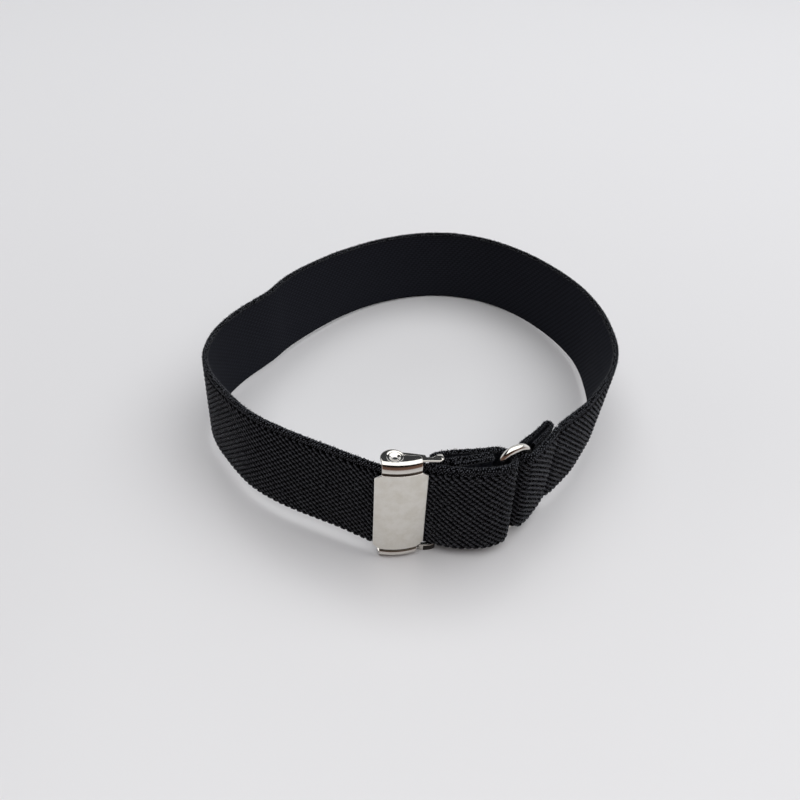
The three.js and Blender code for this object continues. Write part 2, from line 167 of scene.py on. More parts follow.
# plan of the strap: place, x, y, heading in degrees, and how far the top edge leans in x and y
loopRows = [
    ("raw end, turned under", 27.9, -47.15, 55, 0.3, -0.6),
    ("turned under", 30.95, -43.0, 55, 0.5, -0.4),
    ("hem fold, outer side", 32.75, -39.9, 54, 0.8, -0.5),
    ("hem fold, inner side", 31.2, -38.75, 234, 0.8, -0.5),
    ("inner layer", 29.3, -41.9, 235, 0.5, -0.4),
    ("inner layer at the ring", 25.8, -46.2, 235, 0.1, -0.8),
    ("ring turn, back", 25.0, -48.1, 252, -0.4, -1.2),
    ("ring turn, left", 26.3, -50.1, 335, -0.4, -1.2),
    ("ring turn, front", 28.55, -49.8, 56, -0.4, -1.2),
    ("outer layer", 30.1, -47.5, 58, 0.1, -0.8),
    ("bulge over the hem", 32.65, -43.2, 59, 0.7, -0.5),
    ("stitched crease", 34.75, -39.6, 56, 0.7, -0.5),
    ("past the crease", 37.2, -37.1, 51, 0.5, -0.3),
    ("right, front", 43.7, -28.8, 56, 1.0, -0.6),
    ("right, front bend", 50.1, -18.6, 59, 0.9, -0.5),
    ("right, after the bend", 53.8, -10.8, 73, 0.5, -0.1),
    ("right", 55.3, -1.3, 87, 0.8, 0),
    ("right, middle", 55.1, 10.7, 94, 0.5, 0),
    ("right, back", 53.0, 22.4, 105, 0.1, 0),
    ("back right", 48.5, 33.5, 118, -0.3, -0.2),
    ("back right bend", 42.1, 43.2, 128, -0.6, -0.5),
    ("back right end", 33.6, 51.8, 142, -0.6, -0.7),
    ("back, right of middle", 23.1, 57.8, 160, -0.2, -0.6),
    ("back", 11.3, 60.0, 180, 0, 0),
    ("back, left of middle", -0.7, 58.0, 198, 0, 0),
    ("back left", -11.3, 53.0, 211, 0, 0),
    ("back left bend", -20.6, 46.1, 222, 0, 0),
    ("back left straight", -29.0, 37.3, 231, -0.4, 0.3),
    ("before the dents", -36.1, 27.6, 236, -0.8, 0.5),
    ("first dent, outward", -39.4, 22.5, 239, -0.7, 0.5),
    ("between the dents", -42.2, 17.2, 247, -0.3, 0.1),
    ("second dent, inward", -44.8, 11.8, 240, 0, 0),
    ("after the dents", -47.9, 6.6, 238, 0, 0),
    ("left, back", -50.9, 1.3, 244, 0, 0),
    ("left", -54.2, -7.1, 255, 0, 0),
    ("left, middle", -55.3, -15.6, 270, 0, 0),
    ("left, front bend", -53.1, -25.8, 296, 0, 0),
    ("front left bend", -49.0, -32.2, 309, 0, 0),
    ("front left", -40.8, -41.1, 317, 0, 0),
    ("front left straight", -30.7, -47.7, 333, 0, 0),
    ("before the clasp", -14.2, -55.0, 335, 0.1, -0.2),
]
# the same after the clasp, in the clasp's frame: beside the cover, and behind it towards the arm
clasp = {"x": -1.5, "y": -59.3, "heading": 10, "roll": -0.7, "middle": 11.975}
claspRows = [
    ("into the clasp", -6.7, 3.1, -34, 0, 0),
    ("under the jaw", -1.0, 0.6, -1, 0, 0),
    ("cover's right edge", 6.2, 1.43, -14, 0, 0),
    ("leaving the clasp", 10.8, -0.2, -18, 0, 0.2),
    ("front bulge", 16.4, -1.4, -3, 0, 0.5),
    ("front of the ring", 22.4, -1.5, 13, 0, 0.9),
    ("ring turn, right", 26.85, 1.45, 84, -0.9, 0.3),
    ("ring turn, back", 23.4, 5.6, 168, -0.5, 0),
    ("rear layer", 19.0, 5.65, 178, 0, 0),
    ("rear layer, middle", 15.0, 5.6, 181, 0, 0),
    ("bar turn, back", 8.2, 5.0, 192, 0, 0),
    ("bar turn, left", 6.9, 3.75, 270, 0, 0),
    ("bar turn, front", 8.2, 2.5, 354, 0, 0),
    ("middle layer, start", 9.6, 2.53, 371, 0, 0),
    ("middle layer", 12.2, 3.05, 368, 0, 0),
    ("middle layer, end", 15.5, 3.3, 366, 0, 0),
    ("hem fold, back", 20.0, 4.0, 368, 0, 0),
    ("hem fold, front", 20.2, 2.55, 188, 0, 0),
    ("turned under", 15.5, 1.8, 187, 0, 0),
    ("raw end", 11.4, 1.4, 184, 0, 0),
]


def strapRows():
    turn = math.radians(clasp["heading"])
    rows = [row[1:] for row in loopRows]
    for _, beside, behind, heading, topX, topY in claspRows:
        x = clasp["x"] + beside * math.cos(turn) - behind * math.sin(turn)
        y = clasp["y"] + beside * math.sin(turn) + behind * math.cos(turn)
        rows.append((x, y, clasp["heading"] + heading, topX, topY))
    return rows


# a smooth run from row to row that leaves and arrives on the given headings, as an arc would
def layRoute(perSpan=60, step=0.1, settle=1.6):
    rows = strapRows()
    points, leans = [], []
    t = np.linspace(0, 1, perSpan, endpoint=False)[:, None]
    shares = ((1 - t) ** 3, 3 * t * (1 - t) ** 2, 3 * t * t * (1 - t), t ** 3)
    for row, following in zip(rows, rows[1:]):
        start, end = np.array(row[:2]), np.array(following[:2])
        turn = abs((following[2] - row[2] + 180) % 360 - 180)
        bend = math.radians(max(turn, 1))
        handle = np.linalg.norm(end - start) * (2 / 3) * math.tan(bend / 4) / math.sin(bend / 2)
        ahead, back = (
            handle * np.array([math.cos(heading), math.sin(heading)])
            for heading in (math.radians(row[2]), math.radians(following[2])))
        hull = (start, start + ahead, end - back, end)
        points.append(sum(share * corner for share, corner in zip(shares, hull)))
        leans.append((1 - t) * np.array(row[3:]) + t * np.array(following[3:]))
    points = np.vstack(points + [np.array([rows[-1][:2]])])
    leans = np.vstack(leans + [np.array([rows[-1][3:]])])
    run = runAlong(points)
    even = np.linspace(0, run[-1], int(run[-1] / step) + 1)
    xy = pointsAt(even, run, points)
    lean = np.stack([smoothed(values, int(settle / step)) for values in pointsAt(even, run, leans).T], 1)
    ahead = np.gradient(xy, even, axis=0)
    ahead /= np.linalg.norm(ahead, axis=1)[:, None]
    heading = np.unwrap(np.arctan2(ahead[:, 1], ahead[:, 0]))
    return {
        "run": even, "xy": xy, "right": np.stack([ahead[:, 1], -ahead[:, 0]], 1), "lean": lean,
        "curl": np.gradient(heading, even), "rows": run[::perSpan],
    }


route = layRoute()
# how the lower edge stands off the rows: number of the row, how far outward and how far down
lowerEdge = [
    (7, 0, 0), (8, 0.3, 0), (9, 0.6, 0), (11, 0.65, 0), (12, 0.6, 0), (13, 0.35, 0), (14, -0.45, 0),
    (15, -1.3, 0), (16, -1.3, 0), (17, -0.8, 0), (18, 0, 0), (37, 0, 0), (38, 0.55, 0), (39, 0.75, 0),
    (40, 0.1, 0.3), (41, 0, 0.85), (42, 0, 0.7), (43, 0, 0.25), (44, 0, 1.0), (45, 0, 1.15), (46, 0, 0.9),
    (47, 0.1, 0.6), (48, 0, 0),
]
# where the layers lie on each other the cloth is pressed: number of the row, share of the thickness left
pressed = [(4, 0.62), (6, 0.9), (7, 1), (48, 1), (49, 0.78)]
# how high up the face the ribs end: number of the row, reach
ribEnds = [(8, 22.35), (12, 22.0), (18, 22.0), (23, 22.35), (36, 22.65), (40, 22.6), (43, 22.35)]


def spreadAlong(name, rows, values, reach=40):
    spread = np.interp(route["run"], [route["rows"][row] for row in rows], values)
    route[name] = smoothed(spread, reach)


edgeRows, edgeOutward, edgeDown = zip(*lowerEdge)
spreadAlong("outward", edgeRows, edgeOutward)
spreadAlong("down", edgeRows, edgeDown)
spreadAlong("pressed", *zip(*pressed), reach=15)
spreadAlong("ribEnd", *zip(*ribEnds))
strapLength = float(route["run"][-1])
print("strap length mm:", round(strapLength, 1))


def along(run, name):
    values = route[name]
    if values.ndim == 1:
        return np.interp(run, route["run"], values)
    return pointsAt(run, route["run"], values)


# points of the strap: run along it, up across it, out from its middle towards the ribbed face
def strapPoints(run, up, out):
    share = up / strap["width"]
    out = out * along(run, "pressed") + along(run, "outward") * (1 - share)
    flat = along(run, "xy") + along(run, "right") * out[..., None] + along(run, "lean") * share[..., None]
    return np.concatenate([flat, (up - along(run, "down") * (1 - share))[..., None]], -1)


# stitch rows, as a place along the strap and how far the thread draws the cloth in
stitchRows = {
    "crease": (route["rows"][11], 0.45),
    "hem patch": (route["rows"][3] + 1.7, 0.2),
    "rear layer": (route["rows"][len(loopRows) + 8] + 1.9, 0.2),
}
stitch = {
    "length": 1.75, "gap": 0.45, "radius": 0.2, "sunk": 0.1, "face": 0.76, "lowest": 1.2, "rowHeight": 22.6,
    "pullWidth": 0.6, "ribPull": 2.0, "groundPull": 0.8, "topPull": 0.5,  # how much of the pull each takes
    "colour": "#222327",
}


def stitchPull(run):
    return sum(
        pull * np.exp(-((run - place) / stitch["pullWidth"]) ** 2) for place, pull in stitchRows.values())


# in a tight fold there is less room on the inner side: room is the share of the bend's radius that is left
fold = {"tight": 0.3, "room": 0.92}


def squeeze(run, out):
    curl = along(run, "curl")
    room = np.where(curl < -fold["tight"], fold["room"] / np.maximum(-curl, fold["tight"]), np.inf)
    return np.minimum(out, room)


# a stitch row draws both faces in and the top edge down; what is nearer the middle or lower stays
def drawIn(run, up, out, middle, lower=0.0):
    pull = stitch["groundPull"] * stitchPull(run)
    drawn = squeeze(run, out - np.sign(out) * pull * (np.abs(out) > middle))
    return up - stitch["topPull"] * pull * (up > lower), drawn


# the outline of the strap's cross-section: reach is the distance up the ribbed face from its lower edge,
# below zero it goes on round that edge; rise is the height over the ground cloth
def roundTheCloth(reach, rise):
    lowOut, lowUp, lowRadius = strap["lowEdge"]
    topOut, topUp, topRadius = strap["topEdge"]
    faceLength = topUp - lowUp
    low = np.clip(-reach / lowRadius, 0, strap["round"])
    top = np.clip((reach - faceLength) / topRadius, 0, strap["round"])
    onFace = np.clip(reach, 0, faceLength)
    outLow = lowOut + (lowRadius + rise) * np.cos(low)
    upLow = lowUp - (lowRadius + rise) * np.sin(low)
    outTop = topOut + (topRadius + rise) * np.cos(top)
    upTop = topUp + (topRadius + rise) * np.sin(top)
    lift = np.clip((onFace - faceLength + strap["flare"]) / strap["flare"], 0, 1)
    outFace = strap["face"] + lift * lift * (topOut + topRadius - strap["face"]) + rise
    out = np.where(reach < 0, outLow, np.where(reach > faceLength, outTop, outFace))
    up = np.where(reach < 0, upLow, np.where(reach > faceLength, upTop, lowUp + onFace))
    return out, up


# a piece of cloth from points along, up and out; uv keeps millimetres for the pattern
def clothPiece(name, points, faces, uv, materials):
    matrix = np.array(toRow)
    mesh = bpy.data.meshes.new(name)
    mesh.from_pydata((points.reshape(-1, 3) @ matrix[:3, :3].T + matrix[:3, 3]).tolist(), [], faces)
    corners = np.empty(len(mesh.loops), int)
    mesh.loops.foreach_get("vertex_index", corners)
    weave = mesh.uv_layers.new(name="weave")
    weave.data.foreach_set("uv", uv[corners].ravel())
    return addPiece(name, mesh, materials)


# ground cloth: the closed ribbon that the ribs lie on
def buildGround(materials):
    lowUp, topUp = strap["lowEdge"][1], strap["topEdge"][1]
    face = [(strap["face"], up) for up in (lowUp, *strap["faceUp"])]
    tops = [roundTheCloth(np.array(topUp - lowUp + reach), 0) for reach in strap["flareRows"]]
    tops += arcPoints(*strap["topEdge"], np.radians(np.linspace(0, 180, 11)))
    back = [(strap["back"], up) for up in strap["backUp"]]
    lows = arcPoints(*strap["lowEdge"], np.radians(np.linspace(180, 350, 9)))
    section = np.array([[float(v) for v in point] for point in face + tops + back + lows])
    count, around = int(strapLength / strap["step"]), len(section)
    run = np.linspace(0, strapLength, count)
    out, up = (np.repeat(section[:, k:k + 1], count, 1) for k in (0, 1))
    across = np.repeat(run[None], around, 0)
    points = strapPoints(across, *drawIn(across, up, out, middle=0.25, lower=24.3)).transpose(1, 0, 2)
    uv = np.stack([np.repeat(run, around), np.tile(np.clip(section[:, 1], 0, strap["width"]), count)], 1)
    obj = clothPiece("wovenStrap", points, tubeFaces(count, around), uv, materials)
    # its inner side takes the second material
    slots = [0] * (len(face + tops) - 1) + [1] * (len(back) + 1) + [0] * len(lows)
    obj.data.polygons.foreach_set("material_index", slots * (count - 1) + [0, 0])
    return obj


# Ribs: the twill's floats, each a rope of short beads that climbs the face and wraps the lower edge
ribs = {
    "pitch": 1.77,  # from rib to rib along the strap's edge
    "slope": 1.14,  # how far a rib runs along the strap for each millimetre down
    "low": -0.85, "overrun": 0.3,  # reach of its lower end, and how far past the highest end it is laid out
    "width": 0.84, "rise": 0.5, "edgeRise": 0.26, "edgeReach": (-0.4, 0.8),  # it is lower round the edge
    "bead": 0.885, "dip": 0.5, "narrow": 0.15,  # two beads for each pitch; it is lower and narrower between
    "beadShift": 0.36, "sections": 5, "taper": 0.45, "thinnest": 0.02, "flank": 0.4,
    "uneven": 0.06, "unevenEnd": 0.08, "rawEnd": 0.35, "cut": 0.05, "fewest": 6, "pieces": 3,
}
# a rib's cross-section: share of half its width, share of its rise
ribSection = [(-1.0, -0.2), (-0.84, 0.6), (-0.36, 1.0), (0.36, 1.0), (0.84, 0.6), (1.0, -0.2)]


def buildRibs(material):
    rng = np.random.default_rng(7)
    pitch = strapLength / round(strapLength / ribs["pitch"])
    step = ribs["bead"] / ribs["slope"] / ribs["sections"]
    highest = max(end for _, end in ribEnds)
    reach = np.arange(ribs["low"], highest + ribs["overrun"], step)
    lean = np.array([1, ribs["slope"]]) / math.hypot(1, ribs["slope"])
    side, height = np.array(ribSection).T
    side = side * ribs["width"] / 2
    around = len(ribSection)
    count = round((strapLength + ribs["slope"] * highest) / pitch)
    pieces = [([], [], [], 0) for _ in range(ribs["pieces"])]
    for number in range(count):
        wander = rng.normal(0, 1, (4, len(reach)))
        run = (number + 0.5) * pitch - ribs["slope"] * reach
        top = along(run, "ribEnd") + rng.normal(0, ribs["unevenEnd"])
        inside = (run > ribs["rawEnd"]) & (run < strapLength - ribs["rawEnd"]) & (reach < top)
        if inside.sum() < ribs["fewest"]:
            continue
        run, climb, wander = run[inside], reach[inside], wander[:, inside]
        share = (run / ribs["bead"]) % 1
        bead = ribs["dip"] + (1 - ribs["dip"]) * np.sin(math.pi * share) ** 0.5 + ribs["uneven"] * wander[0]
        shift = ribs["beadShift"] * (share - 0.5) + ribs["uneven"] * wander[1]
        ends = np.minimum(climb - climb[0], climb[-1] - climb) / ribs["taper"]
        taper = np.sqrt(np.clip(1 - (1 - np.clip(ends, 0, 1)) ** 2, ribs["thinnest"], 1))
        rise = np.interp(climb, ribs["edgeReach"], (ribs["edgeRise"], ribs["rise"])) * bead * taper
        half = taper * (1 - ribs["narrow"] + ribs["narrow"] * bead)
        across = shift[:, None] + side[None] * half[:, None]
        sideRun = np.clip(run[:, None] + lean[0] * across, ribs["cut"], strapLength - ribs["cut"])
        sideReach = climb[:, None] + lean[1] * across
        sideRise = np.where(height[None] < 0, height[None] * ribs["flank"], height[None] * rise[:, None])
        out, up = roundTheCloth(sideReach, sideRise)
        out = squeeze(sideRun, out - stitch["ribPull"] * stitchPull(sideRun))
        piece = number * ribs["pieces"] // count
        verts, faces, uv, used = pieces[piece]
        verts.append(strapPoints(sideRun, up, out).reshape(-1, 3))
        faces += tubeFaces(len(run), around, used)
        # the share of its rise, which the material paints from shade at the foot to light on the crest
        crest = np.tile(np.clip(height, 0, 1), len(run)) * np.repeat(bead, around)
        uv.append(np.stack([np.repeat(run, around), crest], 1))
        pieces[piece] = (verts, faces, uv, used + len(run) * around)
    return [
        clothPiece(f"twillRibs{number + 1}", np.concatenate(verts), faces, np.concatenate(uv), [material])
        for number, (verts, faces, uv, _) in enumerate(pieces)]


# Selvedge: rows of small yarn loops over the upper edge and down to the ribs
loops = {
    "pitch": 0.6, "rows": 9,
    "gap": 0.1, "last": 26.2,  # the first row lies a gap above the ribs, the last on the back
    "size": (0.29, 0.185, 0.25), "turn": 60, "sunk": 0.05,
    "jitter": 0.1, "sizeJitter": 0.1, "turnJitter": 26,
}


def buildLoops(material):
    rng = np.random.default_rng(11)
    bm = bmesh.new()
    bmesh.ops.create_icosphere(bm, subdivisions=1, radius=1)
    ball = np.array([v.co[:] for v in bm.verts])
    ballFaces = np.array([[v.index for v in face.verts] for face in bm.faces])
    bm.free()
    perRow = int(strapLength / loops["pitch"]) - 1
    row, place = np.meshgrid(np.arange(loops["rows"]), np.arange(perRow), indexing="ij")
    run = (place + 0.75 + 0.5 * (row % 2)) * loops["pitch"] + rng.normal(0, loops["jitter"], row.shape)
    first = along(run, "ribEnd") + loops["gap"]
    reach = first + (loops["last"] - first) * row / (loops["rows"] - 1)
    reach += rng.normal(0, loops["jitter"], row.shape)
    turn = np.radians(loops["turn"] + rng.normal(0, loops["turnJitter"], row.shape)).reshape(-1, 1)
    scale = rng.normal(1, loops["sizeJitter"], (*row.shape, 1)) * np.array(loops["size"])
    x, y, z = np.moveaxis(ball[None] * scale.reshape(-1, 1, 3), -1, 0)
    ballRun = run.reshape(-1, 1) + x * np.cos(turn) - y * np.sin(turn)
    ballReach = reach.reshape(-1, 1) + x * np.sin(turn) + y * np.cos(turn)
    out, up = roundTheCloth(ballReach, z - loops["sunk"])
    points = strapPoints(ballRun, *drawIn(ballRun, up, out, middle=0.3))
    faces = (ballFaces[None] + np.arange(run.size)[:, None, None] * len(ball)).reshape(-1, 3).tolist()
    # each loop's height, which the material paints from shade at its foot to light on its top
    uv = np.stack([ballRun.ravel(), np.tile((ball[:, 2] + 1) / 2, run.size)], 1)
    return clothPiece("selvedgeLoops", points, faces, uv, [material])


# Polyester yarn over rubber: near black and matt. The colours by rise are painted light and shade: painted
# shade in the grooves and at the feet (deep, flank, loopFlank), painted light on the crests (crest, loop)
yarnLook = {
    "deep": "#000001", "ground": "#020203", "flank": "#1e1f22", "crest": "#4c4e53",
    "loopFlank": "#232428", "loop": "#71747b", "back": "#191a1f", "backLit": "#282a31",
    "roughness": 0.6, "specular": 0.015, "sheenRoughness": 0.09, "sheenTint": "#f6faff",
    "backRow": 0.8, "backShift": 0.37,  # rows of the back in millimetres, each shifted by a share of a float
}


# the back of the cloth is flat: fine rows with short staggered floats
def backRelief(material, run, up, fine):
    line = addNode(material, "Math", {"operation": "DIVIDE", 1: yarnLook["backRow"]}, {0: up})
    lineNumber = addNode(material, "Math", {"operation": "FLOOR"}, {0: line})
    dash = addNode(material, "Math", {"operation": "DIVIDE", 1: ribs["pitch"]}, {0: run})
    shifted = addNode(
        material, "Math", {"operation": "MULTIPLY_ADD", 1: yarnLook["backShift"]}, {0: lineNumber, 2: dash})
    waves = []
    for source in (line, shifted):
        share = addNode(material, "Math", {"operation": "FRACT"}, {0: source})
        angle = addNode(material, "Math", {"operation": "MULTIPLY", 1: math.pi}, {0: share})
        waves.append(addNode(material, "Math", {"operation": "SINE"}, {0: angle}))
    both = addNode(material, "Math", {"operation": "MULTIPLY"}, {0: waves[0], 1: waves[1]})
    return addNode(material, "Math", {"operation": "MULTIPLY_ADD", 1: 0.6}, {0: fine, 2: both})


# bumpHeight and spacing are in millimetres
# the yarn's filaments are 0.02 mm; spacing draws them 0.25 to 0.35 mm apart so that they show
def clothMaterial(name, stops, bumpHeight, spacing, sheen=0.0, raised=False, flatWoven=False):
    material, surface = newMaterial(name)
    weave = addNode(material, "UVMap", {"uv_map": "weave"})
    parts = addNode(material, "SeparateXYZ", links={0: weave})
    run, up = parts.outputs[0], parts.outputs[1]
    place = addNode(material, "TexCoord")
    relief = addNode(
        material, "TexNoise", {"Scale": 1000 / spacing, "Detail": 3.0, "Roughness": 0.62},
        {"Vector": place.outputs["Object"]})
    if flatWoven:
        relief = backRelief(material, run, up, relief)
    tone = relief
    if raised:  # up holds the rise of a rib or loop: its crest is painted lighter, as light, and its foot darker, as painted shade
        part = addNode(material, "Math", {"operation": "MULTIPLY_ADD", 1: 0.5, 2: -0.25}, {0: relief})
        tone = addNode(material, "Math", {"operation": "ADD"}, {0: up, 1: part})
    colours = fillRamp(addNode(material, "ValToRGB", links={0: tone}), stops)
    bump = addNode(material, "Bump", {"Strength": 1.0, "Distance": bumpHeight / 1000}, {"Height": relief})
    fillNode(
        material, surface, {
            "Roughness": yarnLook["roughness"], "IOR": 1.5, "Specular IOR Level": yarnLook["specular"],
            "Sheen Weight": sheen, "Sheen Roughness": yarnLook["sheenRoughness"],
            "Sheen Tint": linear(yarnLook["sheenTint"])},
        {"Base Color": colours, "Normal": bump})
    return material


# woven floats of filament yarn with a pale sheen: painted shade on their flanks, painted light on their
# crests
twillYarn = clothMaterial(
    "twillYarnFloat", [(0.3, yarnLook["deep"]), (1.0, yarnLook["crest"]), (0.65, yarnLook["flank"])],
    bumpHeight=0.09, spacing=0.3, sheen=1.0, raised=True)
# the selvedge's yarn is looped and fluffed, without the floats' sheen; it is painted lighter for the light
# that falls on the top edge from above, with painted shade at the loops' feet
loopYarn = clothMaterial(
    "selvedgeYarnLoop", [(0.5, yarnLook["deep"]), (1.0, yarnLook["loop"]), (0.75, yarnLook["loopFlank"])],
    bumpHeight=0.08, spacing=0.25, sheen=0.05, raised=True)
# the woven ground lies in the ribs' shade: almost black
groundCloth = clothMaterial(
    "groundCloth", [(0.3, yarnLook["deep"]), (0.8, yarnLook["ground"])], bumpHeight=0.05, spacing=0.3)
# the inner side is woven flat: a dull dark grey in fine rows
backCloth = clothMaterial(
    "flatWovenBack", [(0.2, yarnLook["back"]), (1.0, yarnLook["backLit"])],
    bumpHeight=0.06, spacing=0.35, flatWoven=True)

wovenStrap = buildGround([groundCloth, backCloth])
ribPieces = buildRibs(twillYarn)
selvedgeLoops = buildLoops(loopYarn)
print("strap woven, faces:", [len(cloth.data.polygons) for cloth in (wovenStrap, *ribPieces, selvedgeLoops)])

# Filament ends that stand out of the selvedges
fuzz = {
    "count": 12000, "length": (0.15, 0.55), "lowShare": 0.5, "width": 0.11, "colour": "#26282b",
    "onTop": 0.8, "topReach": (23.2, 26.4), "lowReach": (-1.3, -0.2), "rawEnd": 0.5,
    "slant": 0.7, "scatter": 0.25, "bend": 0.22, "lowestTip": 0.03,
}


def buildFuzz():
    rng = np.random.default_rng(23)
    count = fuzz["count"]
    run = rng.uniform(fuzz["rawEnd"], strapLength - fuzz["rawEnd"], count)
    onTop = rng.random(count) < fuzz["onTop"]
    reach = np.where(onTop, rng.uniform(*fuzz["topReach"], count), rng.uniform(*fuzz["lowReach"], count))
    base, above = (strapPoints(run, *reversed(roundTheCloth(reach, rise))) for rise in (0.02, 1.02))
    right = along(run, "right")
    ahead = np.stack([-right[:, 1], right[:, 0], np.zeros(count)], 1)
    way = (above - base) + ahead * rng.normal(0, fuzz["slant"], count)[:, None]
    way += rng.normal(0, fuzz["scatter"], (count, 3))
    way /= np.linalg.norm(way, axis=1)[:, None]
    length = rng.uniform(*fuzz["length"], count)[:, None] * np.where(onTop, 1, fuzz["lowShare"])[:, None]
    base[:, 2] -= np.where(onTop, stitch["groundPull"] * stitch["topPull"], 0) * stitchPull(run)
    side = ahead * fuzz["width"] / 2
    middle = base + way * length * 0.55
    tip = base + way * length + rng.normal(0, fuzz["bend"], (count, 3)) * length
    tip[:, 2] = np.maximum(tip[:, 2], fuzz["lowestTip"])
    verts = np.stack([base - side, base + side, middle + side * 0.8, middle - side * 0.8, tip], 1)
    first = np.arange(count)[:, None] * 5
    faces = (first + [0, 1, 2, 3]).tolist() + (first + [3, 2, 4]).tolist()
    # loose polyester filaments: thin, matt and a little lighter than the cloth
    material, surface = newMaterial("looseFilament")
    fillNode(material, surface, {"Base Color": linear(fuzz["colour"]), "Roughness": 0.7})
    return clothPiece("selvedgeFuzz", verts, faces, np.zeros((count * 5, 2)), [material])


selvedgeFuzz = buildFuzz()


# Sewing thread over the stitch rows: short sunk capsules
def capsule(start, end, radius, rings=5, sides=8, tip=0.05):
    axis = end - start
    length = axis.length
    turn = axis.to_track_quat("Z", "Y")
    verts = []
    for ring in range(rings * 2):
        low = ring < rings
        angle = math.pi / 2 * (ring if low else 2 * rings - 1 - ring) / (rings - 1)
        size = radius * max(math.sin(angle), tip)
        height = -radius * math.cos(angle) if low else length + radius * math.cos(angle)
        for side in range(sides):
            way = 2 * math.pi * side / sides
            verts.append(start + turn @ Vector((size * math.cos(way), size * math.sin(way), height)))
    return verts, tubeFaces(rings * 2, sides)


def buildStitches():
    verts, faces = [], []
    pitch = stitch["length"] + stitch["gap"]
    for place, pull in stitchRows.values():
        for number in range(int(stitch["rowHeight"] / pitch)):
            low = stitch["lowest"] + number * pitch
            out = stitch["face"] - stitch["ribPull"] * pull - stitch["sunk"] + stitch["radius"]
            ends = strapPoints(np.full(2, place), np.array([low, low + stitch["length"]]), np.full(2, out))
            newVerts, newFaces = capsule(*(Vector(end) for end in ends), stitch["radius"])
            faces += [[index + len(verts) for index in face] for face in newFaces]
            verts += newVerts
    mesh = bpy.data.meshes.new("stitchThread")
    mesh.from_pydata([toRow @ v for v in verts], [], faces)
    # spun thread: a slanting twist of plies gives small soft highlights
    material, surface = newMaterial("spunPolyesterThread")
    place = addNode(material, "TexCoord")
    twist = addNode(
        material, "TexWave", {"Scale": 900.0, "Distortion": 2.0, "bands_direction": "DIAGONAL"},
        {"Vector": place.outputs["Object"]})
    bump = addNode(material, "Bump", {"Strength": 0.6, "Distance": 0.00004}, {"Height": twist.outputs[1]})
    fillNode(
        material, surface, {"Base Color": linear(stitch["colour"]), "Roughness": 0.55}, {"Normal": bump})
    return addPiece("stitchThread", mesh, [material])


stitchThread = buildStitches()
print("fuzz and stitches added")

# Clasp: stamped sheet, nickel plated; lengths in the clasp's own frame: along, behind, up
toClasp = (
    toRow @ Matrix.Translation((clasp["x"], clasp["y"], clasp["middle"]))
    @ turned(clasp["heading"], "Z") @ turned(clasp["roll"], "Y")
)


# a solid from a flat pattern: its faces are given once, its free edges are rounded, and place bends it
# sharp limits how far the rounding cuts into a sharp corner
# the faces in its last argument take the second material, painted shade
def sheetSolid(bm, pattern, faces, look, place, arc=3, sharp=0.7, edgeSlot=0, paintedShade=()):
    half, edge = look["sheet"] / 2, look["edge"]
    pattern = np.array(pattern, float)
    used = {index for face in faces for index in face}
    edges = {(a, b) for face in faces for a, b in zip(face, face[1:] + face[:1])}
    following = {a: b for a, b in edges if (b, a) not in edges}
    outward = np.zeros_like(pattern)
    for b, c in following.items():
        a = next(k for k, v in following.items() if v == b)
        normals = []
        for p, q in ((a, b), (b, c)):
            way = pattern[q] - pattern[p]
            normals.append(np.array([way[1], -way[0]]) / np.linalg.norm(way))
        middle = normals[0] + normals[1]
        middle /= np.linalg.norm(middle)
        outward[b] = middle / max(float(middle @ normals[0]), sharp)
    angles = np.radians(np.linspace(0, 90, arc + 1))
    levels = [(edge * (1 - math.sin(a)), half - edge * (1 - math.cos(a))) for a in angles]
    levels += [(inset, -level) for inset, level in reversed(levels)]
    rings = []
    for inset, level in levels:
        needed = used if level in (half, -half) else following
        flat = pattern - outward * inset
        rings.append([
            bm.verts.new(place(x, y, level)) if index in needed else None
            for index, (x, y) in enumerate(flat)])
    for number, face in enumerate(faces):
        bm.faces.new([rings[0][i] for i in face]).material_index = int(number in paintedShade)
        bm.faces.new([rings[-1][i] for i in reversed(face)])
    for upper, lower in zip(rings, rings[1:]):
        for a, b in following.items():
            bm.faces.new((upper[a], lower[a], lower[b], upper[b])).material_index = edgeSlot


def gridPattern(columns, rows):
    return [(x, y) for y in rows for x in columns], gridFaces(len(rows), len(columns)).tolist()


def finishMetal(bm, name, materials):
    mesh = bpy.data.meshes.new(name)
    bm.to_mesh(mesh)
    bm.free()
    mesh.transform(toClasp)
    obj = addPiece(name, mesh, materials)
    obj.modifiers.new("flats", "WEIGHTED_NORMAL").weight = 60
    return obj


# grain is the pattern's size and bumpHeight its depth, both in millimetres
def nickelMaterial(name, colour, stain, roughness, unevenness, grain, bumpHeight):
    material, surface = newMaterial(name)
    place = addNode(material, "TexCoord").outputs["Object"]
    speckle = addNode(
        material, "TexNoise", {"Scale": 1000 / grain, "Detail": 3.0, "Roughness": 0.6}, {"Vector": place})
    low, high = roughness - unevenness, roughness + unevenness
    spread = addNode(
        material, "MapRange", {"From Min": 0.3, "From Max": 0.7, "To Min": low, "To Max": high},
        {"Value": speckle})
    bump = addNode(material, "Bump", {"Strength": 0.5, "Distance": bumpHeight / 1000}, {"Height": speckle})
    # handling leaves faint clouds in the plate, a few millimetres wide
    clouds = addNode(
        material, "TexNoise", {"Scale": 300.0, "Detail": 4.0, "Roughness": 0.7}, {"Vector": place})
    amount = addNode(material, "MapRange", {"From Min": 0.4, "From Max": 0.8}, {"Value": clouds})
    tone = addNode(material, "Mix", {"data_type": "RGBA", 6: linear(colour), 7: linear(stain)}, {0: amount})
    links = {"Base Color": tone.outputs[2], "Roughness": spread, "Normal": bump}
    fillNode(material, surface, {"Metallic": 1.0}, links)
    return material


